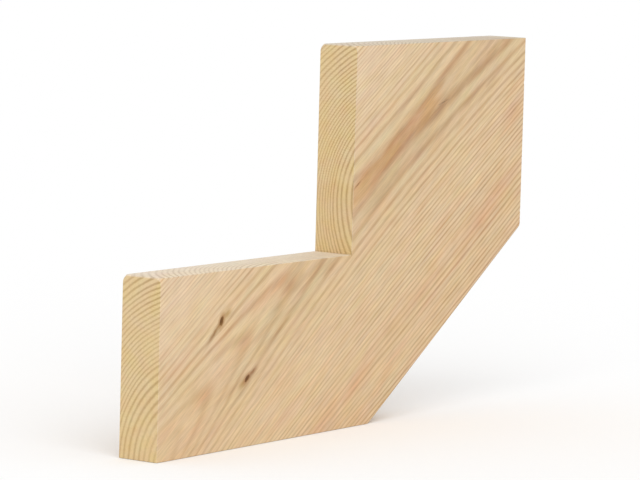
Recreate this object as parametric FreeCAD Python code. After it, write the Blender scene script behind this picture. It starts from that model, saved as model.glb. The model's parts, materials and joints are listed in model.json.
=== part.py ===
import FreeCAD, Part
import math
import os

# A stair stringer with two steps, sawn in one piece from a single framing board.
# +X runs from the first riser in under the stair, +Y across the board, +Z up.
# The origin is on the floor, halfway along the total run and halfway through the board.
# All sizes are in millimetres.

# Stair layout
step_count = 2
unit_run = 260.35  # depth of each tread seat, 10 1/4 in
unit_rise = 174.625  # from one tread seat up to the next, 6 7/8 in
first_rise = 146.05  # floor to the lowest seat, short by about one tread board, 5 3/4 in

# Framing board, nominally 2 x 12 inches
board_width = 285.75  # 11 1/4 in
board_thickness = 38.1  # 1 1/2 in
milled_radius = 4.8  # rounding that the mill puts on the four long edges

# Saw work
nosing_flat = 1.0  # strip of milled edge that is left between the two cuts at each nose
sawn_arris = 0.6  # blunted edge where a saw cut meets a broad face

# Worked out from the sizes above
total_run = step_count * unit_run
total_rise = first_rise + (step_count - 1) * unit_rise
front_x = -total_run / 2
rear_x = total_run / 2
front_y = -board_thickness / 2
pitch = math.atan2(unit_rise, unit_run)


def sawn_corners():
    """Corners of the saw cuts: up the steps from the toe, then down the rear plumb cut."""
    corners = [FreeCAD.Vector(front_x, front_y, 0)]
    for step in range(step_count):
        riser_x = front_x + step * unit_run
        seat_z = first_rise + step * unit_rise
        corners.append(FreeCAD.Vector(riser_x, front_y, seat_z))
        corners.append(FreeCAD.Vector(riser_x + unit_run, front_y, seat_z))
    corners.append(FreeCAD.Vector(rear_x, front_y, 0))
    return corners


def sawn_prism():
    """What the plumb and level cuts leave, as thick as the board, with its arrises blunted."""
    corners = sawn_corners()
    outline = Part.makePolygon(corners + corners[:1])
    prism = Part.Face(outline).extrude(FreeCAD.Vector(0, board_thickness, 0))
    arrises = [edge for edge in prism.Edges if abs(edge.tangentAt(edge.FirstParameter).y) < 0.5]
    return prism.makeChamfer(sawn_arris, arrises)


def milled_board():
    """The framing board, laid at the stair's pitch with its upper edge along the noses."""
    length = 2 * math.hypot(total_run, total_rise)
    corner = FreeCAD.Vector(-length / 2, front_y, -board_width)
    board = Part.makeBox(length, board_thickness, board_width, corner)
    long_edges = [edge for edge in board.Edges if abs(edge.tangentAt(edge.FirstParameter).x) > 0.5]
    board = board.makeFillet(milled_radius, long_edges)
    board.rotate(FreeCAD.Vector(0, 0, 0), FreeCAD.Vector(0, 1, 0), -math.degrees(pitch))
    nose_depth = nosing_flat * math.sin(pitch) * math.cos(pitch)
    into_board = FreeCAD.Vector(math.sin(pitch), 0, -math.cos(pitch))
    first_nose = FreeCAD.Vector(front_x, 0, first_rise)
    board.translate(first_nose + into_board * nose_depth)
    return board


stringer = milled_board().common(sawn_prism()).Solids[0]

os.makedirs("parts", exist_ok=True)
stringer.exportStep("parts/stringer.step")

foot_end_x = max(v.X for v in stringer.Vertexes if abs(v.Z) < sawn_arris)
print("stringer", stringer.ShapeType, "valid", stringer.isValid(), "faces", len(stringer.Faces))
print("box", stringer.optimalBoundingBox())
print("volume in litres", stringer.Volume / 1e6)
print("centre of mass", stringer.CenterOfMass, "foot ends at x", foot_end_x)
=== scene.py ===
# %% [markdown]
# # A stair stringer of treated pine
# A cut stringer is one length of framing board with the steps sawn out of it.
# This lesson saws the board again in Blender, over the engineering model of the same part,
# and gives it the figure of real pine: growth rings that run through the solid wood.

# %% Load the engineering model
import json
import math
import random

import bmesh
import bpy
from mathutils import Matrix, Vector


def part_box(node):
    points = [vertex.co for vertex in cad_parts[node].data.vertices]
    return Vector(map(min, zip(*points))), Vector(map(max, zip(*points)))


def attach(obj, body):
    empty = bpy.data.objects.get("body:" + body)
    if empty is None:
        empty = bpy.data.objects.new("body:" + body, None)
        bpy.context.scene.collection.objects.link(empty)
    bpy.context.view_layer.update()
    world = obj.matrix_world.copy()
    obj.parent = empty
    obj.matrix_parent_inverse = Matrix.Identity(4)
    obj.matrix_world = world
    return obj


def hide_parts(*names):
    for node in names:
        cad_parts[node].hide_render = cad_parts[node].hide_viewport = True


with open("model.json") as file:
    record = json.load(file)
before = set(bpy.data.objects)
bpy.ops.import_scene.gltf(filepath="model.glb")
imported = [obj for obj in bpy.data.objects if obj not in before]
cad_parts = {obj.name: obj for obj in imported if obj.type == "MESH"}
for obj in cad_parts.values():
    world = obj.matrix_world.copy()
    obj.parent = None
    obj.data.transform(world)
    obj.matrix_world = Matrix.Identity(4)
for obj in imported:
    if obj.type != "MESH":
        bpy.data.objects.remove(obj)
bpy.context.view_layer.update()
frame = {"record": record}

low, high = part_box("stringer")
places = {mount["name"]: Vector(mount["pos_m"]) for mount in frame["record"]["mounts"]}
print("stringer box", tuple(low), tuple(high))

# %% [markdown]
# ## Sizes
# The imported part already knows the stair: its mounts are the seats and the riser faces.
# Only what they don't tell is written here, as the sizes of the lumber and of the saw work.

# %% Sizes of the stair and of the board
MM = 0.001
front_x, rear_x = low.x, high.x
front_y, back_y = low.y, high.y
inner_x = places["upper_riser_face"].x
lower_seat_z = places["lower_tread_seat"].z
upper_seat_z = places["upper_tread_seat"].z
pitch = math.atan2(upper_seat_z - lower_seat_z, inner_x - front_x)

board_width = 285.75 * MM
board_thickness = back_y - front_y
milled_radius = 4.8 * MM
nosing_flat = 1.0 * MM
sawn_arris = 0.7 * MM
kerf_width = 0.9 * MM
kerf_depth = 0.9 * MM
print("pitch in degrees", round(math.degrees(pitch), 2))

# %% [markdown]
# ## Places on the board
# Everything that belongs to the wood is placed along the board and not along the stair: so many
# millimetres along it from the first nose, in from the face that shows, and across it from its
# upper edge. One function turns such a place into a point of the part.

# %% From the board's own measures to a point
along_board = Vector((math.cos(pitch), 0.0, math.sin(pitch)))
across_board = Vector((math.sin(pitch), 0.0, -math.cos(pitch)))
nose_corner = Vector((front_x, front_y, lower_seat_z))


def board_point(along, depth, across):
    """The point at three lengths in millimetres along, into and across the board."""
    return nose_corner + (along_board * along + Vector((0, depth, 0)) + across_board * across) * MM


print("the board runs along", tuple(along_board))

# %% [markdown]
# ## The blank
# The real part starts as a plain 2 x 12 whose four long edges were rounded at the mill.
# So does this one: a cube at the board's size, turned to the stair's pitch as it is added,
# with a bevel on its long edges. The turn is applied at once, so that the object stays at the
# origin and its place is in its mesh.

# %% Helpers for selecting by place
def only(obj):
    """Makes one object the whole selection."""
    bpy.ops.object.select_all(action="DESELECT")
    obj.select_set(True)
    bpy.context.view_layer.objects.active = obj


def select_edges(obj, wanted):
    """In edit mode, leaves selected the edges for which wanted(edge) is true."""
    bpy.ops.mesh.select_mode(type="EDGE")
    bpy.ops.mesh.select_all(action="DESELECT")
    mesh = bmesh.from_edit_mesh(obj.data)
    chosen = [edge for edge in mesh.edges if wanted(edge)]
    for edge in chosen:
        edge.select_set(True)
    bmesh.update_edit_mesh(obj.data)
    return len(chosen)


# %% Add the blank and round its long edges
MILLED_STEPS = 10  # faces round a milled edge
ROUND = 0.5  # profile of a bevel that is an arc
nose_depth = nosing_flat * math.sin(pitch) * math.cos(pitch)
blank_length = 2 * math.hypot(rear_x - front_x, high.z)
blank_centre = Vector((front_x, 0, lower_seat_z)) + across_board * (nose_depth + board_width / 2)

bpy.ops.object.select_all(action="DESELECT")
bpy.ops.mesh.primitive_cube_add(size=1, location=blank_centre, rotation=(0, -pitch, 0))
stringer = bpy.context.object
stringer.name = "stringer_board"
stringer.scale = (blank_length, board_thickness, board_width)
bpy.ops.object.transform_apply(location=True, rotation=True, scale=True)

bpy.ops.object.mode_set(mode="EDIT")
long_edges = select_edges(stringer, lambda edge: edge.calc_length() > blank_length / 2)
bpy.ops.mesh.bevel(offset=milled_radius, segments=MILLED_STEPS, profile=ROUND, affect="EDGES")
bpy.ops.object.mode_set(mode="OBJECT")
print("long edges rounded", long_edges, "faces", len(stringer.data.polygons))

# %% [markdown]
# ## The saw cuts
# Four of the cuts go right through: the foot, the first riser, the upper seat and the rear plumb
# cut. Bisect does these and fills the sawn face. The step's notch stops in the corner, so a block
# of its size is taken out with a boolean.

# %% Saw the straight cuts
def saw(point, facing):
    """Cuts off what lies on the facing side of a plane, and closes the cut."""
    bpy.ops.mesh.select_all(action="SELECT")
    bpy.ops.mesh.bisect(plane_co=point, plane_no=facing, use_fill=True, clear_outer=True)


only(stringer)
bpy.ops.object.mode_set(mode="EDIT")
saw((0, 0, low.z), (0, 0, -1))
saw((front_x, 0, 0), (-1, 0, 0))
saw((0, 0, upper_seat_z), (0, 0, 1))
saw((rear_x, 0, 0), (1, 0, 0))
bpy.ops.object.mode_set(mode="OBJECT")
print("faces after the straight cuts", len(stringer.data.polygons))


# %% Cut out the notch of the lower step
def take_out(tool):
    """Takes a tool's volume out of the board, and throws the tool away."""
    bpy.ops.object.transform_apply(location=True, rotation=True, scale=True)
    only(stringer)
    cut = stringer.modifiers.new("cut", "BOOLEAN")
    cut.operation = "DIFFERENCE"
    cut.solver = "EXACT"
    cut.object = tool
    bpy.ops.object.modifier_apply(modifier=cut.name)
    bpy.data.objects.remove(tool)


def cut_block(corner, far_corner):
    """Takes a block between two corners out of the board."""
    bpy.ops.object.select_all(action="DESELECT")
    bpy.ops.mesh.primitive_cube_add(size=1, location=(corner + far_corner) / 2)
    tool = bpy.context.object
    tool.scale = far_corner - corner
    take_out(tool)


cut_block(Vector((2 * front_x, 2 * front_y, lower_seat_z)),
          Vector((inner_x, 2 * back_y, 2 * upper_seat_z)))
print("faces after the notch", len(stringer.data.polygons))

# %% [markdown]
# ## The arrises and the kerf
# A saw leaves a sharp arris, and handling dulls it. A narrow bevel on every outer edge does that,
# and it catches a thin line of light as the real edges do. The inner corner stays sharp. There the
# saw ran a hair past the corner, which leaves a thin dark line, so a sliver of a block takes out
# that kerf, after the bevel, so that it is crisp too.

# %% Dull the sawn edges
SHARP = math.radians(25)
ARRIS_STEPS = 3  # faces across a dulled arris
ARRIS_WELD = 0.02  # millimetres; points that the bevel brings nearer than this are one


def is_arris(edge):
    """A sharp outer edge: the board's inner corner isn't one."""
    return len(edge.link_faces) == 2 and edge.calc_face_angle() > SHARP and edge.is_convex


bpy.ops.object.mode_set(mode="EDIT")
arrises = select_edges(stringer, is_arris)
bpy.ops.mesh.bevel(offset=sawn_arris, segments=ARRIS_STEPS, profile=ROUND, affect="EDGES", clamp_overlap=True)
bpy.ops.mesh.select_all(action="SELECT")
bpy.ops.mesh.remove_doubles(threshold=ARRIS_WELD * MM)
bpy.ops.mesh.normals_make_consistent(inside=False)
bpy.ops.object.mode_set(mode="OBJECT")
print("arrises dulled", arrises)

# %% Run the saw past the corner
cut_block(Vector((inner_x - kerf_width, 2 * front_y, lower_seat_z - kerf_depth)),
          Vector((inner_x, 2 * back_y, lower_seat_z + kerf_depth)))
bpy.ops.object.mode_set(mode="EDIT")
bpy.ops.mesh.select_all(action="SELECT")
bpy.ops.mesh.quads_convert_to_tris()
bpy.ops.object.mode_set(mode="OBJECT")
print("faces after the kerf", len(stringer.data.polygons))

# %% [markdown]
# ## Knots, slits and chips
# This board has two small knots, a couple of short slits where the grain opened, and chips where
# the saw came out. All are hollows, so each is an egg-shaped tool taken out of the board.
# The knots are two branches of one whorl. They run outwards from the pith, which lay in front of
# the face that shows, so on the far face they stand further apart. Each tool's middle lies a tenth
# of a millimetre outside the wood, so that none of its points falls exactly on a face.

# %% Where the pith was
PITH_FAR = 44.0  # most that it lay in front of the shown face, in millimetres
PITH_FAR_AT = 331.0
PITH_BEND = -1.33e-4
PITH_ACROSS = 98.0  # least that it lay below the board's upper edge
PITH_ACROSS_AT = 300.0
PITH_SWEEP = 1.96e-4


def pith_at(along):
    """How far the pith lay in front of the shown face, and where across the board."""
    far = PITH_FAR + PITH_BEND * (along - PITH_FAR_AT) ** 2
    across = PITH_ACROSS + PITH_SWEEP * (along - PITH_ACROSS_AT) ** 2
    return far, across


print("pith at the first nose", pith_at(0.0))

# %% Hollow out the knots and slits
KNOTS = (  # places and half sizes in millimetres, turns in radians
    {"along": 44.5, "across": 78.4, "long": 4.3, "wide": 2.3, "turn": -0.55,
     "tail_to": -12.5, "tail_long": 11.0, "tail_slope": -0.17, "flare_to": 9.0},
    {"along": 46.8, "across": 140.0, "long": 4.0, "wide": 2.0, "turn": -0.12,
     "tail_to": 9.0, "tail_long": 6.0, "tail_slope": 0.02, "flare_to": -7.0},
)
BRANCH_RISE = -0.1  # how far a branch leans along the board for each millimetre outwards
HOLLOW = 1.1  # size of a knot's hollow, as a share of the knot's
HOLLOW_DEEP = 0.4
CRACK = 0.7  # length of the crack in a knot, as a share of the knot's
CRACK_DEEP = 0.7
CRACK_WIDE = 0.22
CRACK_TURN = 0.2
SLITS = (
    {"along": 394.0, "across": 116.5, "long": 11.0, "turn": 0.31, "dark": 0.15},
    {"along": 253.5, "across": 99.6, "long": 6.5, "turn": 0.0, "dark": 0.65},
)
SLIT_DEEP = 0.5
SLIT_WIDE = 0.3
CLEAR = 0.1
EGG_SEGMENTS = 24
EGG_RINGS = 12


def gouge(centre, half_lengths, slope):
    """Scoops an egg-shaped hollow: half lengths in millimetres along, into and across the slope."""
    bpy.ops.object.select_all(action="DESELECT")
    bpy.ops.mesh.primitive_uv_sphere_add(segments=EGG_SEGMENTS, ring_count=EGG_RINGS, radius=MM,
                                         location=centre, rotation=(0, -slope, 0))
    tool = bpy.context.object
    tool.scale = half_lengths
    take_out(tool)


depth_of_board = board_thickness / MM
for knot in KNOTS:
    pith_far, pith_across = pith_at(knot["along"])
    knot["lean"] = (knot["across"] - pith_across) / pith_far
    slope = pitch - knot["turn"]
    for depth in (-CLEAR, depth_of_board + CLEAR):
        spot = board_point(knot["along"] + BRANCH_RISE * depth, depth, knot["across"] + knot["lean"] * depth)
        gouge(spot, (HOLLOW * knot["long"], HOLLOW_DEEP, HOLLOW * knot["wide"]), slope)
        gouge(spot, (CRACK * knot["long"], CRACK_DEEP, CRACK_WIDE), slope - CRACK_TURN)
for slit in SLITS:
    spot = board_point(slit["along"], -CLEAR, slit["across"])
    gouge(spot, (slit["long"], SLIT_DEEP, SLIT_WIDE), pitch - slit["turn"])
print("knots", len(KNOTS), "slits", len(SLITS), "faces", len(stringer.data.polygons))

# %% Chip the edges where the saw came out
CHIP_SEED = 12
SEAT_CHIPS = 9  # along the far edge of each seat
FIRST_CHIP = 12
CHIP_SPACING = 27
CHIP_SCATTER = 9
SEAT_CHIP_SIZES = ((0.8, 2.2), (0.4, 0.7), (0.4, 0.7))  # least and most half length each way
REAR_CHIP_HEIGHTS = (161.5, 167.0, 214.0, 281.0)
REAR_CHIP_SIZES = ((0.7, 1.0), (0.6, 0.9), (1.0, 2.0))
draw = random.Random(CHIP_SEED)


def chip(spot, sizes):
    """Gouges a chip, level, of half lengths drawn between their limits."""
    gouge(spot, [draw.uniform(*limits) for limits in sizes], slope=0.0)


for seat_z, start_x in ((lower_seat_z, front_x), (upper_seat_z, inner_x)):
    for step in range(SEAT_CHIPS):
        scatter = draw.uniform(-CHIP_SCATTER, CHIP_SCATTER)
        spot_x = start_x + (FIRST_CHIP + CHIP_SPACING * step + scatter) * MM
        chip(Vector((spot_x, back_y + CLEAR * MM, seat_z + CLEAR * MM)), SEAT_CHIP_SIZES)
for height in REAR_CHIP_HEIGHTS:
    chip(Vector((rear_x + CLEAR * MM, front_y - CLEAR * MM, height * MM)), REAR_CHIP_SIZES)
print("chips", 2 * SEAT_CHIPS + len(REAR_CHIP_HEIGHTS), "faces", len(stringer.data.polygons))

# %% [markdown]
# ## The weld
# A boolean can leave points a hair apart where a hollow grazes an edge, and slivers between them.
# Merging such points gives a sound, closed mesh. Booleans also give their points in no fixed order,
# and which of two points stays depends on it, so the points are sorted by distance first.

# %% Weld the mesh
WELD = 0.04  # millimetres; points nearer than this are one
bpy.ops.object.mode_set(mode="EDIT")
bpy.ops.mesh.select_all(action="SELECT")
bpy.ops.mesh.sort_elements(type="CURSOR_DISTANCE", elements={"VERT", "EDGE", "FACE"})
bpy.ops.mesh.remove_doubles(threshold=WELD * MM)
bpy.ops.mesh.quads_convert_to_tris()
unsound = [edge for edge in bmesh.from_edit_mesh(stringer.data).edges if len(edge.link_faces) != 2]
bpy.ops.object.mode_set(mode="OBJECT")
print("edges that don't join two faces", len(unsound), "faces", len(stringer.data.polygons))

# %% [markdown]
# ## Building nodes by name
# A material is a graph. These small helpers add a node, feed a socket with a link or a plain value,
# and do the arithmetic, so that the cells below read as the wood does and not as wiring.

# %% Helpers that wire nodes
def add_node(tree, kind, **settings):
    """Adds one shader node and sets its properties."""
    node = tree.nodes.new("ShaderNode" + kind)
    for name, value in settings.items():
        setattr(node, name, value)
    return node


def feed(tree, socket, value):
    """Links a socket to an output, or sets it to a plain value."""
    if isinstance(value, bpy.types.NodeSocket):
        tree.links.new(value, socket)
    else:
        socket.default_value = value


def new_group(name, inputs, outputs):
    """A shader group with named sockets, and its two end nodes."""
    tree = bpy.data.node_groups.new(name, "ShaderNodeTree")
    for label, kind in inputs:
        tree.interface.new_socket(name=label, in_out="INPUT", socket_type="NodeSocket" + kind)
    for label, kind in outputs:
        tree.interface.new_socket(name=label, in_out="OUTPUT", socket_type="NodeSocket" + kind)
    start = tree.nodes.new("NodeGroupInput")
    end = tree.nodes.new("NodeGroupOutput")
    return tree, start, end


def place_group(tree, group, **values):
    """Puts a group into a graph and feeds its inputs by name."""
    node = add_node(tree, "Group", node_tree=group)
    for label, value in values.items():
        feed(tree, node.inputs[label], value)
    return node


# %% Helpers that reckon
def reckon(tree, operation, *values):
    """One step of arithmetic on outputs or numbers."""
    node = add_node(tree, "Math", operation=operation)
    for socket, value in zip(node.inputs, values):
        feed(tree, socket, value)
    return node.outputs[0]


def offset(tree, value, middle, scale):
    """(value - middle) / scale."""
    return reckon(tree, "DIVIDE", reckon(tree, "SUBTRACT", value, middle), scale)


def parabola(tree, value, middle, height, bend):
    """height + bend * (value - middle) squared."""
    away = reckon(tree, "SUBTRACT", value, middle)
    return reckon(tree, "MULTIPLY_ADD", reckon(tree, "MULTIPLY", away, away), bend, height)


def length_of(tree, first, second):
    """Length of the hypotenuse over two sides."""
    squares = reckon(tree, "MULTIPLY_ADD", first, first, reckon(tree, "MULTIPLY", second, second))
    return reckon(tree, "SQRT", squares)


def turned(tree, along, across, turn):
    """Two lengths, along and across, after a turn in the plane of the face."""
    new_along = reckon(tree, "MULTIPLY_ADD", along, math.cos(turn),
                       reckon(tree, "MULTIPLY", across, math.sin(turn)))
    new_across = reckon(tree, "MULTIPLY_ADD", along, -math.sin(turn),
                        reckon(tree, "MULTIPLY", across, math.cos(turn)))
    return new_along, new_across


# %% Helpers that fade and mottle
def ease(tree, value, start, end, low_value=0.0, high_value=1.0):
    """Goes smoothly from low_value to high_value while value goes from start to end."""
    node = add_node(tree, "MapRange", interpolation_type="SMOOTHSTEP")
    for name, given in (("Value", value), ("From Min", start), ("From Max", end),
                        ("To Min", low_value), ("To Max", high_value)):
        feed(tree, node.inputs[name], given)
    return node.outputs["Result"]


def bell(tree, *distances):
    """1 where all distances are 0, falling off smoothly: exp of minus their squares."""
    total = 0.0
    for distance in distances:
        total = reckon(tree, "MULTIPLY_ADD", distance, distance, total)
    return reckon(tree, "EXPONENT", reckon(tree, "MULTIPLY", total, -1.0))


def oval(tree, place, patch):
    """A soft oval on the face, from its middle along and across, its length and its width."""
    middle_along, middle_across, long, wide = patch
    return bell(tree, offset(tree, place["Along"], middle_along, long),
                offset(tree, place["Across"], middle_across, wide))


def grain_noise(tree, stem, lengths, detail=2.0, roughness=0.5):
    """Noise about 0, from -0.5 to 0.5, with its own length along, through and across the board."""
    stretch = add_node(tree, "VectorMath", operation="DIVIDE")
    feed(tree, stretch.inputs[0], stem)
    feed(tree, stretch.inputs[1], lengths)
    noise = add_node(tree, "TexNoise", noise_dimensions="3D")
    feed(tree, noise.inputs["Vector"], stretch.outputs[0])
    feed(tree, noise.inputs["Scale"], 1.0)
    feed(tree, noise.inputs["Detail"], detail)
    feed(tree, noise.inputs["Roughness"], roughness)
    return reckon(tree, "SUBTRACT", noise.outputs[0], 0.5)


# %% Helpers for colour
def blend_colours(tree, amount, first, second, blend_type="MIX"):
    """Goes from the first colour to the second as amount goes from 0 to 1."""
    node = add_node(tree, "Mix", data_type="RGBA", blend_type=blend_type)
    feed(tree, node.inputs[0], amount)
    feed(tree, node.inputs[6], first)
    feed(tree, node.inputs[7], second)
    return node.outputs[2]


def tone(red, green, blue):
    """A colour as a picture editor names it, 0 to 255, turned by the sRGB curve into linear values."""
    linear = []
    for value in (red / 255, green / 255, blue / 255):
        linear.append(value / 12.92 if value <= 0.04045 else ((value + 0.055) / 1.055) ** 2.4)
    return (*linear, 1.0)


def tell(tree):
    """Prints how large a finished graph is."""
    print("graph", tree.name, "nodes", len(tree.nodes))


# %% [markdown]
# ## Where a point lies in the tree
# Grain follows the board and not the stair. This group turns a point of the part into the same three
# lengths in millimetres that the hollows were placed by. All the figure below is worked out
# from them, so it runs right through the wood and meets itself at every edge.

# %% Group: stem place
WOOD_PLACE = [("Along", "Float"), ("Depth", "Float"), ("Across", "Float"), ("Stem", "Vector")]

stem_place, start, end = new_group("stem_place", [("Position", "Vector")], WOOD_PLACE)
mapping = add_node(stem_place, "Mapping", vector_type="POINT")
feed(stem_place, mapping.inputs["Vector"], start.outputs["Position"])
mapping.inputs["Location"].default_value = -(Matrix.Rotation(pitch, 3, "Y") @ nose_corner) / MM
mapping.inputs["Rotation"].default_value = (0.0, pitch, 0.0)
mapping.inputs["Scale"].default_value = (1 / MM, 1 / MM, 1 / MM)
parts = add_node(stem_place, "SeparateXYZ")
feed(stem_place, parts.inputs[0], mapping.outputs[0])
feed(stem_place, end.inputs["Along"], parts.outputs["X"])
feed(stem_place, end.inputs["Depth"], parts.outputs["Y"])
feed(stem_place, end.inputs["Across"], reckon(stem_place, "MULTIPLY", parts.outputs["Z"], -1.0))
feed(stem_place, end.inputs["Stem"], mapping.outputs[0])
tell(stem_place)

# %% [markdown]
# ## Knots
# Each knot is a thin branch that runs outwards from the pith, so it shows on both faces, and the
# rings bend round it. The group gives the branch wood and its dark heart, the brown stain round it,
# the resin streak that trails along the grain, a paler flare on the other side, and the place
# across the board with the rings' bend taken out.

# %% Group: knots
KNOT_EDGES = {"Core": (1.15, 0.75), "Heart": (0.75, 0.3), "Stain": (2.4, 0.9)}  # none to full, in knot sizes
KNOT_RAGGED = 0.9  # spread of a knot's ragged outline, in knot sizes
STREAK_RAGGED = 2.0  # the same for its streaks, in millimetres
TAIL_WIDE = 1.9
FLARE_LONG = 6.0
FLARE_WIDE = 3.0
RING_PUSH = 0.7  # share of the distance from a knot that is taken off beside it
PUSH_LONG = 20.0
PUSH_WIDE = 7.0

masks = {"Core": 0.0, "Heart": 0.0, "Stain": 0.0, "Tail": 0.0, "Flare": 0.0}
knots, start, end = new_group(
    "whorl_knots",
    WOOD_PLACE,
    [("Across", "Float"), *((label, "Float") for label in masks)],
)
bent = start.outputs["Across"]
wobble = grain_noise(knots, start.outputs["Stem"], (4.0, 4.0, 2.0), detail=3.0)
for knot in KNOTS:
    middle_along = reckon(knots, "MULTIPLY_ADD", start.outputs["Depth"], BRANCH_RISE, knot["along"])
    middle_across = reckon(knots, "MULTIPLY_ADD", start.outputs["Depth"], knot["lean"], knot["across"])
    off_along = reckon(knots, "SUBTRACT", start.outputs["Along"], middle_along)
    off_across = reckon(knots, "SUBTRACT", start.outputs["Across"], middle_across)
    off_long, off_wide = turned(knots, off_along, off_across, knot["turn"])
    reach = length_of(knots, reckon(knots, "DIVIDE", off_long, knot["long"]),
                      reckon(knots, "DIVIDE", off_wide, knot["wide"]))
    reach = reckon(knots, "MULTIPLY_ADD", wobble, KNOT_RAGGED, reach)
    found = {label: ease(knots, reach, *edge) for label, edge in KNOT_EDGES.items()}
    ragged = reckon(knots, "MULTIPLY_ADD", wobble, STREAK_RAGGED, off_across)
    straight = reckon(knots, "MULTIPLY_ADD", off_along, -knot["tail_slope"], ragged)
    found["Tail"] = bell(knots, offset(knots, off_along, knot["tail_to"], knot["tail_long"]),
                         reckon(knots, "DIVIDE", straight, TAIL_WIDE))
    found["Flare"] = bell(knots, offset(knots, off_along, knot["flare_to"], FLARE_LONG),
                          reckon(knots, "DIVIDE", ragged, FLARE_WIDE))
    for label, mask in found.items():
        masks[label] = reckon(knots, "MAXIMUM", masks[label], mask)
    near = bell(knots, reckon(knots, "DIVIDE", off_along, PUSH_LONG),
                reckon(knots, "DIVIDE", off_across, PUSH_WIDE))
    push = reckon(knots, "MULTIPLY", reckon(knots, "MULTIPLY", off_across, near), RING_PUSH)
    bent = reckon(knots, "SUBTRACT", bent, push)
feed(knots, end.inputs["Across"], bent)
for label, mask in masks.items():
    feed(knots, end.inputs[label], mask)
tell(knots)

# %% [markdown]
# ## Growth rings
# Rings are circles about the pith, a little flatter on this side of the stem, and the pith is a line
# that bows gently as the stem did. It lay in front of the shown face, so that face is cut near
# the heart of each ring: broad bands and arched figure in the middle, straight fine lines to both
# sides. Cut across, the same rings are the arcs on the plumb cuts. The stem grew in spells, wet ones
# with wide rings and dry ones with narrow, and a curve built from them gives the ring number for a
# distance from the pith.

# %% Group: growth rings, the ring number
FLATTER = 0.049
LOPSIDED = 0.175  # most by which the rings lie closer on the upper side
LOPSIDED_AT = 350.0
LOPSIDED_BEND = -1.54e-6
WAVER = 1.3  # spread in millimetres of a ring's wandering over a long stretch
RIPPLE = 0.6  # and over a short one
SPELLS = ((9, 5.15), (2, 5.5), (2, 4.4), (10, 2.85), (7, 3.2), (5, 4.2), (32, 3.2))  # years, ring width
DARKEST = 0.65  # share of a ring's growth at which its late wood is darkest

rings, start, end = new_group(
    "growth_rings",
    WOOD_PLACE,
    [("Latewood", "Float"), ("Boldness", "Float"), ("Clearness", "Float")],
)
pith_far = parabola(rings, start.outputs["Along"], PITH_FAR_AT, PITH_FAR, PITH_BEND)
pith_across = parabola(rings, start.outputs["Along"], PITH_ACROSS_AT, PITH_ACROSS, PITH_SWEEP)
outwards = reckon(rings, "ADD", start.outputs["Depth"], pith_far)
sideways = reckon(rings, "SUBTRACT", start.outputs["Across"], pith_across)
radius = reckon(rings, "MULTIPLY_ADD", outwards, FLATTER, length_of(rings, outwards, sideways))
lopsided = parabola(rings, start.outputs["Along"], LOPSIDED_AT, LOPSIDED, LOPSIDED_BEND)
radius = reckon(rings, "SUBTRACT", radius, reckon(rings, "MULTIPLY", lopsided, sideways))
waver = grain_noise(rings, start.outputs["Stem"], (130.0, 20.0, 20.0))
ripple = grain_noise(rings, start.outputs["Stem"], (22.0, 4.0, 4.0), detail=3.0)
radius = reckon(rings, "MULTIPLY_ADD", waver, WAVER, radius)
radius = reckon(rings, "MULTIPLY_ADD", ripple, RIPPLE, radius)

all_years = sum(years for years, width in SPELLS)
stem_radius = sum(years * width for years, width in SPELLS)
growth = add_node(rings, "FloatCurve")
points = growth.mapping.curves[0].points
age, reached = 0, 0.0
for years, width in SPELLS[:-1]:
    age += years
    reached += years * width
    points.new(reached / stem_radius, age / all_years)
for point in points:
    point.handle_type = "VECTOR"
growth.mapping.update()
feed(rings, growth.inputs["Value"], reckon(rings, "DIVIDE", radius, stem_radius))
ring = reckon(rings, "MULTIPLY_ADD", growth.outputs[0], all_years, DARKEST)
print("years of growth", all_years, "stem radius in mm", round(stem_radius, 1))

# %% [markdown]
# Late wood darkens slowly through a season and stops at once. Years differ, so each ring draws its
# own boldness, which also comes and goes along the board, is less in the broad inner rings and fades
# towards the pale upper edge. Here and there the planed face shows hardly any rings: such places are
# listed, and they fade with depth, so that they don't cut through the arcs on the plumb cuts.

# %% Group: growth rings, how dark each one is
LATE_START = 0.3  # share of a ring's growth at which its late wood starts
FIRST_YEAR = 317407.0  # picks the run of years whose draws suit this board
YEAR_SHARE = 0.5  # share of a ring's boldness that its year draws
FADE = 2.0
INNER_RINGS = (60.0, 85.0)  # distances from the pith between which they end
INNER_BOLD = (0.42, 0.66)  # boldness within and beyond
PALE_EDGE = (20.0, 90.0)  # places across the board
PALE_BOLD = (0.7, 1.0)
FAINT_DEPTHS = (10.0, 28.0)
FAINT_LOSS = -0.5  # change of clearness in the middle of a faint place
FAINT = (  # where rings are faint: along, across, length, width
    (60, 190, 180, 55), (10, 45, 80, 22), (270, 236, 250, 13), (200, 262, 90, 12), (-74, 110, 26, 26),
    (272, 92.5, 26, 4), (318, 94.5, 36, 3), (305, 117, 30, 3.5), (440, 145.5, 28, 3),
    (142, 98, 18, 6), (150, 111, 14, 5), (120, 120.5, 16, 3),
)

season = reckon(rings, "FRACT", ring)
rise = ease(rings, season, LATE_START, DARKEST)
stop = ease(rings, season, 1.0, DARKEST)
feed(rings, end.inputs["Latewood"], reckon(rings, "MULTIPLY", rise, stop))

year = add_node(rings, "TexWhiteNoise", noise_dimensions="1D")
feed(rings, year.inputs["W"], reckon(rings, "ADD", reckon(rings, "FLOOR", ring), FIRST_YEAR))
fade = grain_noise(rings, start.outputs["Stem"], (70.0, 7.0, 7.0), detail=3.0)
bold = reckon(rings, "MULTIPLY_ADD", year.outputs["Value"], YEAR_SHARE, 1.0 - YEAR_SHARE)
bold = reckon(rings, "MULTIPLY", bold, reckon(rings, "MULTIPLY_ADD", fade, FADE, 1.0))
bold = reckon(rings, "MULTIPLY", bold, ease(rings, radius, *INNER_RINGS, *INNER_BOLD))
bold = reckon(rings, "MULTIPLY", bold, ease(rings, start.outputs["Across"], *PALE_EDGE, *PALE_BOLD))
feed(rings, end.inputs["Boldness"], bold)

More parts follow.
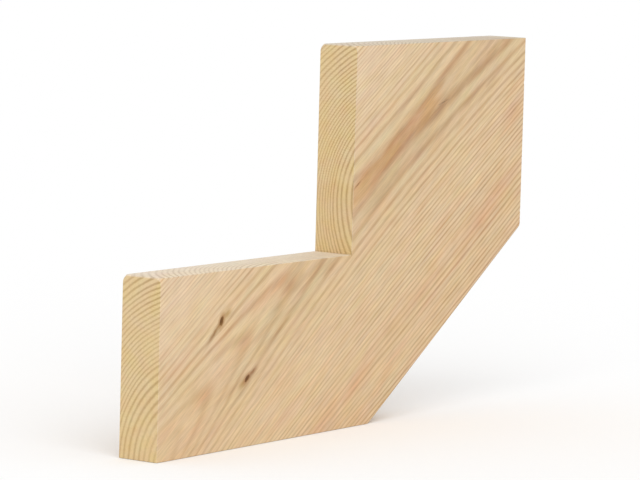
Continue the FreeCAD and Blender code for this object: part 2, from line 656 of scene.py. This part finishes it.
clear = 1.0
loss = ease(rings, start.outputs["Depth"], *FAINT_DEPTHS, FAINT_LOSS, 0.0)
for patch in FAINT:
    kept = reckon(rings, "MULTIPLY_ADD", oval(rings, start.outputs, patch), loss, 1.0)
    clear = reckon(rings, "MULTIPLY", clear, kept)
feed(rings, end.inputs["Clearness"], clear)
tell(rings)

# %% [markdown]
# ## Stains, painted light and painted shade
# Pine isn't one colour. Resin and the treatment leave rosy patches and fainter blushes, greenish
# sage strips, one broad resin band, grey-brown smudges and darker umber streaks, mostly where the
# rings lie flat to the face. They are placed one by one, each with its own length and width, and a soft
# noise keeps their outlines loose. Across the board the wood goes from a paler upper edge, which is
# painted light from above, through a darker heartwood band to amber at the lower edge, and slow noises
# mottle the hue and the saturation. The slits get a dark line of painted shade that stays near the shown
# face.

# %% Group: stains, the patches
PATCHES = {  # along, across, length, width
    "Rosy": (
        (-10, 116.5, 16, 6), (62, 113, 12, 6.5), (124, 103, 16, 7), (128, 110, 14, 5), (268, 97, 16, 3.5),
        (322, 127, 16, 3), (112, 240, 30, 8), (165, 241, 30, 7), (424, 232, 34, 8), (480, 190, 22, 9),
        (392, 242, 40, 6), (502, 127.5, 13, 4),
    ),
    "Blush": ((222, 236, 34, 7), (288, 239, 40, 8), (92, 99, 16, 5), (-26, 131, 22, 7)),
    "Sage": (
        (300, 88, 46, 4.5), (378, 92, 24, 4), (300, 120, 36, 3.5), (332, 138, 40, 4), (96, 116, 20, 6),
        (150, 132, 36, 5), (100, 127, 24, 5), (430, 130, 40, 3.5), (495, 136, 30, 4),
    ),
    "Resin": ((262, 106, 50, 9.5), (318, 106.5, 50, 9), (368, 110.5, 30, 8), (378, 101, 28, 4)),
    "Smudge": (
        (26, 134.5, 20, 2), (82, 121, 16, 3), (100, 134, 34, 2.2), (122, 130, 16, 2), (146, 119, 18, 3),
        (146, 125.5, 20, 2.6), (167, 121, 16, 3), (182, 133, 16, 4), (262, 127, 22, 6), (355, 84, 50, 2),
        (350, 126, 30, 4), (425, 100.5, 40, 3.5), (432, 108, 32, 6), (474, 103, 18, 7),
    ),
    "Umber": (
        (109, 115.5, 11, 3), (130, 110.5, 12, 3), (298, 127, 26, 6), (345, 113, 40, 2.5),
        (388, 118, 20, 5.5), (416, 122, 22, 4.5), (448, 122.5, 26, 5.5), (480, 124.5, 26, 5.5),
        (350, 131.5, 26, 3.5), (386, 136, 24, 3), (428, 139.5, 32, 2.8), (472, 144.5, 22, 2.2),
        (470, 115.5, 30, 2.5), (506, 126, 16, 5),
    ),
}
DRIFT_EDGE = (0.02, 0.25)  # how far the slow noise goes either way before a tint starts, and is full
DRIFT_TINT = 0.5
LOOSE = 1.6  # how much the soft noise breaks up a patch
PATCH_LEVEL = 0.9
RESIN_EDGE = (0.15, 0.7)  # the resin band is sharper than the other patches

stains_and_painted_light, start, end = new_group(
    "wood_stains_and_painted_light",
    WOOD_PLACE,
    [(label, "Float") for label in (*PATCHES, "PaintedTopLight", "Heartwood", "Amber", "PaintedSlitShade", "Hue", "Saturation")],
)
loose = grain_noise(stains_and_painted_light, start.outputs["Stem"], (60.0, 14.0, 9.0), detail=3.0)
drift = grain_noise(stains_and_painted_light, start.outputs["Stem"], (150.0, 40.0, 13.0), detail=2.0)
drifts = {
    "Rosy": ease(stains_and_painted_light, drift, *DRIFT_EDGE, 0.0, DRIFT_TINT),
    "Sage": ease(stains_and_painted_light, drift, *(-edge for edge in DRIFT_EDGE), 0.0, DRIFT_TINT),
}
broken = reckon(stains_and_painted_light, "MULTIPLY_ADD", loose, LOOSE, PATCH_LEVEL)
for label, patches in PATCHES.items():
    mask = drifts.get(label, 0.0)
    for patch in patches:
        mask = reckon(stains_and_painted_light, "MAXIMUM", mask, oval(stains_and_painted_light, start.outputs, patch))
    mask = reckon(stains_and_painted_light, "MULTIPLY", mask, broken)
    if label == "Resin":
        mask = ease(stains_and_painted_light, mask, *RESIN_EDGE)
    feed(stains_and_painted_light, end.inputs[label], mask)
print("patches", sum(len(patches) for patches in PATCHES.values()))

# %% Group: stains and painted light across the board, painted shade at the slits
EDGE_WANDER = 30.0  # millimetres
# painted light from above: the board is paler towards its upper edge
PAINTED_TOP_LIGHT = (80.0, 15.0)  # places across the board where it starts and is full
HEARTWOOD = (130.0, 40.0)  # its middle and its half width
AMBER = (185.0, 260.0)  # the same as for sapwood
HUE_KEPT = 0.5  # the Hue that leaves a colour as it is
HUE_MOTTLE = 0.034
SATURATION_MOTTLE = 0.28
# painted shade in the open slits
SLIT_SHADE = 0.8  # share of a slit's length that is dark
SLIT_SHADE_WIDE = 0.7
SLIT_SHADE_DEPTHS = (3.0, 1.0)

loose_edge = reckon(stains_and_painted_light, "MULTIPLY_ADD", loose, EDGE_WANDER, start.outputs["Across"])
# painted light from above, paler towards the upper edge
feed(stains_and_painted_light, end.inputs["PaintedTopLight"], ease(stains_and_painted_light, loose_edge, *PAINTED_TOP_LIGHT))
feed(stains_and_painted_light, end.inputs["Heartwood"], bell(stains_and_painted_light, offset(stains_and_painted_light, loose_edge, *HEARTWOOD)))
feed(stains_and_painted_light, end.inputs["Amber"], ease(stains_and_painted_light, loose_edge, *AMBER))
warmth = grain_noise(stains_and_painted_light, start.outputs["Stem"], (45.0, 11.0, 11.0), detail=2.0)
milk = grain_noise(stains_and_painted_light, start.outputs["Stem"], (32.0, 14.0, 10.0), detail=2.0)
feed(stains_and_painted_light, end.inputs["Hue"], reckon(stains_and_painted_light, "MULTIPLY_ADD", warmth, HUE_MOTTLE, HUE_KEPT))
feed(stains_and_painted_light, end.inputs["Saturation"], reckon(stains_and_painted_light, "MULTIPLY_ADD", milk, SATURATION_MOTTLE, 1.0))

# painted shade: a dark line along each open slit, near the shown face
slit_shade_mask = 0.0
near_face = ease(stains_and_painted_light, start.outputs["Depth"], *SLIT_SHADE_DEPTHS)
for slit in SLITS:
    off_along = reckon(stains_and_painted_light, "SUBTRACT", start.outputs["Along"], slit["along"])
    off_across = reckon(stains_and_painted_light, "SUBTRACT", start.outputs["Across"], slit["across"])
    off_long, off_wide = turned(stains_and_painted_light, off_along, off_across, slit["turn"])
    line = bell(stains_and_painted_light, reckon(stains_and_painted_light, "DIVIDE", off_long, SLIT_SHADE * slit["long"]),
                reckon(stains_and_painted_light, "DIVIDE", off_wide, SLIT_SHADE_WIDE))
    slit_shade_mask = reckon(stains_and_painted_light, "MAXIMUM", slit_shade_mask, reckon(stains_and_painted_light, "MULTIPLY", line, slit["dark"]))
feed(stains_and_painted_light, end.inputs["PaintedSlitShade"], reckon(stains_and_painted_light, "MULTIPLY", slit_shade_mask, near_face))
tell(stains_and_painted_light)

# %% [markdown]
# ## Fibres
# Between the rings the wood is a bundle of fibres, with short dark dashes where a resin duct was
# cut open. They are noises drawn out along the grain: on a planed face they read as streaks, and on
# a cut across the grain the same noises read as pores.

# %% Group: fibres
BROAD_SHARE = 0.5  # of the broad streaks, beside the finer ones
DUCT_EDGE = (0.17, 0.30)  # only the peaks of a noise are ducts

fibres, start, end = new_group(
    "wood_fibres",
    [("Stem", "Vector")],
    [("Streaks", "Float"), ("Ducts", "Float")],
)
broad = grain_noise(fibres, start.outputs["Stem"], (90.0, 4.0, 4.0), detail=2.0)
middle = grain_noise(fibres, start.outputs["Stem"], (26.0, 1.8, 1.8), detail=1.0)
fine = grain_noise(fibres, start.outputs["Stem"], (14.0, 0.7, 0.7), detail=2.0, roughness=0.6)
streaks = reckon(fibres, "ADD", reckon(fibres, "MULTIPLY_ADD", broad, BROAD_SHARE, middle), fine)
feed(fibres, end.inputs["Streaks"], streaks)
duct = grain_noise(fibres, start.outputs["Stem"], (12.0, 0.7, 0.7), detail=1.0)
feed(fibres, end.inputs["Ducts"], ease(fibres, duct, *DUCT_EDGE))
tell(fibres)

# %% [markdown]
# ## Saw marks
# Each tooth of the blade leaves a shallow arc across a sawn face, evenly spaced by the feed and
# never equally deep. The travel of the blade is the height on a plumb cut and the length on a
# level one, so the material says which.

# %% Group: saw marks
BLADE_RADIUS = 92.0
BLADE_MIDDLE = 30.0  # how deep in the board the arcs turn
TOOTH_FEED = 2.1
FEED_WANDER = 1.2
MARK_LEVEL = 0.4

saw_marks, start, end = new_group(
    "saw_marks",
    [("Travel", "Float"), ("Side", "Float"), ("Stem", "Vector")],
    [("Marks", "Float")],
)
arc = parabola(saw_marks, start.outputs["Side"], BLADE_MIDDLE, 0.0, 0.5 / BLADE_RADIUS)
phase = reckon(saw_marks, "ADD", start.outputs["Travel"], arc)
uneven = grain_noise(saw_marks, start.outputs["Stem"], (9.0, 9.0, 9.0))
phase = reckon(saw_marks, "MULTIPLY_ADD", uneven, FEED_WANDER, phase)
wave = reckon(saw_marks, "SINE", reckon(saw_marks, "MULTIPLY", phase, 2 * math.pi / TOOTH_FEED))
deep = grain_noise(saw_marks, start.outputs["Stem"], (23.0, 23.0, 23.0))
depth_of_mark = reckon(saw_marks, "ADD", deep, MARK_LEVEL)
feed(saw_marks, end.inputs["Marks"], reckon(saw_marks, "MULTIPLY", wave, depth_of_mark))
tell(saw_marks)

# %% [markdown]
# ## The finishes
# The planed faces, the plumb cuts and the level cuts are the same wood seen at three angles to the
# grain, so one function makes all three finishes from the groups. Each has its own colours, nap
# and saw marks: end grain drinks more and is yellower, and shows its rings more evenly. On the level
# cuts torn fibres make the far side pale, and the upper seat is darker than the lower one.

# %% Paints for stains and knots
STAIN_AND_LIGHT_PAINTS = (
    # painted light from above at the upper edge
    ("PaintedTopLight", 0.5, tone(237, 212, 181)),
    ("Heartwood", 0.25, tone(208, 174, 130)),
    ("Amber", 0.3, tone(216, 180, 137)),
    ("Rosy", 0.55, tone(220, 170, 130)),
    ("Blush", 0.35, tone(220, 170, 130)),
    ("Sage", 0.5, tone(212, 196, 152)),
    ("Resin", 0.75, tone(206, 159, 110)),
    ("Smudge", 0.6, tone(197, 166, 126)),
    ("Umber", 0.6, tone(184, 149, 110)),
    # painted shade in the slits
    ("PaintedSlitShade", 1.0, tone(150, 108, 66)),
)
KNOT_PAINTS = (
    ("Flare", 0.8, tone(184, 148, 86)),
    ("Stain", 0.7, tone(176, 128, 78)),
    ("Tail", 0.9, tone(152, 108, 62)),
    ("Core", 0.95, tone(124, 83, 40)),
    ("Heart", 0.5, tone(98, 64, 28)),
)


def paint_over(tree, colour, masks, paints, share=1.0):
    """Lays paints over a colour, each where its mask is and as strongly as it says."""
    for mask, strength, paint in paints:
        amount = reckon(tree, "MULTIPLY", masks.outputs[mask], strength * share)
        colour = blend_colours(tree, amount, colour, paint)
    return colour


print("paints", len(STAIN_AND_LIGHT_PAINTS) + len(KNOT_PAINTS))

# %% Shade of the rings, the torn fibres and the streaks
EVEN_BOLD = 0.82  # boldness of all rings where they show evenly
BOLD_DEPTHS = (10.0, 36.0)
BOLD_BY_DEPTH = (1.1, 0.75)
TORN_DEPTHS = (6.0, 38.0)
TORN_MOST = 0.35
TORN_FIBRES = tone(228, 217, 200)
UPPER_SEAT_TINT = (0.82, 0.83, 0.84, 1.0)
STREAK_SHADE = 0.34
DUCT_SHADE = -0.09


def ring_shade(tree, ring, depth, evenness):
    """How dark the late wood is, bolder towards the shown face."""
    bold = ease(tree, evenness, 0.0, 1.0, ring.outputs["Boldness"], EVEN_BOLD)
    bold = reckon(tree, "MULTIPLY", bold, ease(tree, depth, *BOLD_DEPTHS, *BOLD_BY_DEPTH))
    bold = reckon(tree, "MULTIPLY", bold, ring.outputs["Clearness"])
    return reckon(tree, "MULTIPLY", ring.outputs["Latewood"], bold)


def tear(tree, colour, depth, height):
    """Pales a level cut towards its far side, and darkens it from the lower seat to the upper."""
    torn = ease(tree, depth, *TORN_DEPTHS, 0.0, TORN_MOST)
    colour = blend_colours(tree, torn, colour, TORN_FIBRES)
    upper = ease(tree, height, lower_seat_z, upper_seat_z)
    return blend_colours(tree, upper, colour, UPPER_SEAT_TINT, "MULTIPLY")


def streak(tree, colour, fibre, stain_and_painted_light, fibre_share):
    """Lightens and darkens a colour by its fibres and ducts, and mottles it."""
    shade = add_node(tree, "HueSaturation")
    value = reckon(tree, "MULTIPLY_ADD", fibre.outputs["Streaks"], STREAK_SHADE * fibre_share, 1.0)
    value = reckon(tree, "MULTIPLY_ADD", fibre.outputs["Ducts"], DUCT_SHADE * fibre_share, value)
    feed(tree, shade.inputs["Hue"], stain_and_painted_light.outputs["Hue"])
    feed(tree, shade.inputs["Saturation"], stain_and_painted_light.outputs["Saturation"])
    feed(tree, shade.inputs["Value"], value)
    feed(tree, shade.inputs["Color"], colour)
    return shade.outputs[0]


# %% Materials of the three kinds of surface
PLUMB_TRAVEL = "Z"
LEVEL_TRAVEL = "X"
RING_RELIEF = 0.5
MARK_RELIEF = 0.8
BUMP_STRENGTH = 0.4
BUMP_DISTANCE = 0.25 * MM
GLOSS = 0.25
NAP_ROUGHNESS = 0.5


def pine(name, early, late, evenness, stain_and_light_share, fibre_share, roughness, nap, sawn=None):
    """Treated pine: colours of early and late wood, how evenly all rings show, how much of the patches,
    the painted light and the painted shade shows, and of the fibres, the roughness and nap of the cut, and
    the axis along which a saw went."""
    material = bpy.data.materials.new(name)
    material.use_nodes = True
    tree = material.node_tree
    surface = tree.nodes["Principled BSDF"]
    position = add_node(tree, "TexCoord").outputs["Object"]
    axes = add_node(tree, "SeparateXYZ")
    feed(tree, axes.inputs[0], position)
    place = place_group(tree, stem_place, Position=position)
    wood = {label: place.outputs[label] for label, kind in WOOD_PLACE}
    knot = place_group(tree, knots, **wood)
    stain_and_painted_light = place_group(tree, stains_and_painted_light, **wood)
    ring = place_group(tree, rings, **{**wood, "Across": knot.outputs["Across"]})
    fibre = place_group(tree, fibres, Stem=wood["Stem"])

    # stain patches, painted light at the upper edge and painted shade in the slits
    colour = paint_over(tree, early, stain_and_painted_light, STAIN_AND_LIGHT_PAINTS, stain_and_light_share)
    darkening = [late_part / early_part for late_part, early_part in zip(late, early)]
    dark = ring_shade(tree, ring, wood["Depth"], evenness)
    colour = blend_colours(tree, dark, colour, darkening, "MULTIPLY")
    colour = paint_over(tree, colour, knot, KNOT_PAINTS)
    if sawn == LEVEL_TRAVEL:
        colour = tear(tree, colour, wood["Depth"], axes.outputs["Z"])
    feed(tree, surface.inputs["Base Color"], streak(tree, colour, fibre, stain_and_painted_light, fibre_share))

    surface.inputs["Roughness"].default_value = roughness
    surface.inputs["Specular IOR Level"].default_value = GLOSS
    surface.inputs["Sheen Weight"].default_value = nap
    surface.inputs["Sheen Roughness"].default_value = NAP_ROUGHNESS
    grain = reckon(tree, "MULTIPLY", fibre.outputs["Streaks"], fibre_share)
    relief = reckon(tree, "MULTIPLY_ADD", ring.outputs["Latewood"], RING_RELIEF, grain)
    if sawn:
        travel = reckon(tree, "DIVIDE", axes.outputs[sawn], MM)
        marks = place_group(tree, saw_marks, Travel=travel, Side=wood["Depth"], Stem=wood["Stem"])
        relief = reckon(tree, "MULTIPLY_ADD", marks.outputs["Marks"], MARK_RELIEF, relief)
    bump = add_node(tree, "Bump")
    bump.inputs["Strength"].default_value = BUMP_STRENGTH
    bump.inputs["Distance"].default_value = BUMP_DISTANCE
    feed(tree, bump.inputs["Height"], relief)
    feed(tree, surface.inputs["Normal"], bump.outputs[0])
    print("finish", name, "nodes", len(tree.nodes))
    return material


planed = pine("planed_pine", tone(228, 200, 160), tone(176, 132, 88), evenness=0.0, stain_and_light_share=1.0,
              fibre_share=1.0, roughness=0.62, nap=0.0)
plumb_cut = pine("plumb_cut_pine", tone(227, 200, 151), tone(170, 135, 85), evenness=0.5, stain_and_light_share=0.15,
                 fibre_share=0.4, roughness=0.75, nap=0.05, sawn=PLUMB_TRAVEL)
level_cut = pine("level_cut_pine", tone(230, 210, 177), tone(176, 146, 106), evenness=0.45, stain_and_light_share=0.6,
                 fibre_share=1.1, roughness=0.8, nap=0.3, sawn=LEVEL_TRAVEL)

# %% [markdown]
# ## Faces and normals
# Each face takes its finish from where it points: square to the length it is a plumb cut, square to
# the height a level cut, and otherwise planed. A dulled arris that cuts the grain takes the level cuts'
# paler finish, which paints a thin highlight along the edge. Then the mesh is shaded smooth over its
# small angles, with normals weighted by area, so that the large faces stay flat beside their narrow bevels.

# %% Give each face its finish
PLANED, PLUMB, LEVEL = range(3)
SQUARE = 0.93  # a face whose normal has more than this along an axis is square to it
CUTS_GRAIN = 0.15  # a face whose normal has more than this along the board cuts the grain
SMOOTH_UNDER = math.radians(28)

for finish in (planed, plumb_cut, level_cut):
    stringer.data.materials.append(finish)
for face in stringer.data.polygons:
    square = [abs(part) > SQUARE for part in face.normal]
    cuts_grain = abs(face.normal.dot(along_board)) > CUTS_GRAIN
    face.material_index = PLANED
    if square[0]:
        face.material_index = PLUMB
    # a dulled arris across the grain takes the paler level-cut finish: a painted highlight along the edge
    elif square[2] or (cuts_grain and not square[1]):
        face.material_index = LEVEL
only(stringer)
bpy.ops.object.shade_smooth_by_angle(angle=SMOOTH_UNDER)
flats = stringer.modifiers.new("flats", "WEIGHTED_NORMAL")
flats.keep_sharp = True
bpy.ops.object.modifier_apply(modifier=flats.name)

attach(stringer, "root")
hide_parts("stringer")
print("stringer triangles", sum(len(face.vertices) - 2 for face in stringer.data.polygons))

# %% [markdown]
# ## Floor and light
# A plain white floor keeps the object's shadow. The light is soft and comes mostly from the camera's
# side, so that the broad face, the risers and the seats are lit about alike. Rays straight from
# the camera see the floor and the sky white, and what both give the object is set on its own.

# %% Floor
WHITE = (1.0, 1.0, 1.0, 1.0)
FLOOR_GREY = (0.85, 0.85, 0.85, 1.0)  # what the floor gives back to the object
FLOOR_SIZE = 60.0
FLOOR_GAP = 0.2 * MM


def straight_rays(tree):
    """1 for a ray from the camera, a mirror or a glass, and 0 for the light that surfaces share."""
    rays = add_node(tree, "LightPath")
    seen = reckon(tree, "MAXIMUM", rays.outputs["Is Camera Ray"], rays.outputs["Is Glossy Ray"])
    return reckon(tree, "MAXIMUM", seen, rays.outputs["Is Transmission Ray"])


bpy.ops.object.select_all(action="DESELECT")
bpy.ops.mesh.primitive_plane_add(size=FLOOR_SIZE, location=(0, 0, low.z - FLOOR_GAP))
floor = bpy.context.object
floor.name = "floor"
paper = bpy.data.materials.new("white_floor")
paper.use_nodes = True
paper_tree = paper.node_tree
paper_surface = paper_tree.nodes["Principled BSDF"]
paper_surface.inputs["Roughness"].default_value = 0.9
paper_surface.inputs["Specular IOR Level"].default_value = 0.0
floor_colour = blend_colours(paper_tree, straight_rays(paper_tree), FLOOR_GREY, WHITE)
feed(paper_tree, paper_surface.inputs["Base Color"], floor_colour)
floor.data.materials.append(paper)
print("floor at", floor.location.z)

# %% Sky and lamp
SKY_LEVEL = 0.78
LAMP_LEVEL = 1.0
LAMP_SPREAD = math.radians(60)
lamp_from = Vector((-0.55, -0.55, 0.75))

world = bpy.data.worlds.new("studio")
bpy.context.scene.world = world
world.use_nodes = True
sky = world.node_tree
background = sky.nodes["Background"]
background.inputs["Color"].default_value = WHITE
feed(sky, background.inputs["Strength"], ease(sky, straight_rays(sky), 0.0, 1.0, SKY_LEVEL, 1.0))

lamp_data = bpy.data.lights.new("softbox", "SUN")
lamp_data.energy = LAMP_LEVEL
lamp_data.angle = LAMP_SPREAD
lamp = bpy.data.objects.new("softbox", lamp_data)
bpy.context.scene.collection.objects.link(lamp)
lamp.rotation_mode = "QUATERNION"
lamp.rotation_quaternion = (-lamp_from).to_track_quat("-Z", "Y")
print("lamp from", tuple(lamp_from), "sky level", SKY_LEVEL)

# %% [markdown]
# ## Camera
# The photograph was taken with a long lens from a little above the part, so its level edges stay
# nearly parallel. The camera looks along the same line, with the same slight roll.

# %% Camera
camera_azimuth = math.radians(-54.707)
camera_elevation = math.radians(5.947)
camera_roll = math.radians(1.571)
camera_distance = 3.257
camera_aim = Vector((-0.01984, 0.0, 0.15831))
camera_lens = 219.54
camera_sensor = 36.0
camera_reach = 200.0

back = Vector((
    math.sin(camera_azimuth) * math.cos(camera_elevation),
    -math.cos(camera_azimuth) * math.cos(camera_elevation),
    math.sin(camera_elevation),
))
camera_data = bpy.data.cameras.new("camera")
camera_data.sensor_width = camera_sensor
camera_data.lens = camera_lens
camera_data.clip_end = camera_reach
camera = bpy.data.objects.new("camera", camera_data)
bpy.context.scene.collection.objects.link(camera)
camera.rotation_mode = "QUATERNION"
camera.location = camera_aim + back * camera_distance
look = (-back).to_track_quat("-Z", "Y")
camera.rotation_quaternion = look @ Matrix.Rotation(camera_roll, 3, "Z").to_quaternion()
bpy.context.scene.camera = camera
bpy.context.scene.view_settings.view_transform = "Standard"
print("camera at", tuple(camera.location))
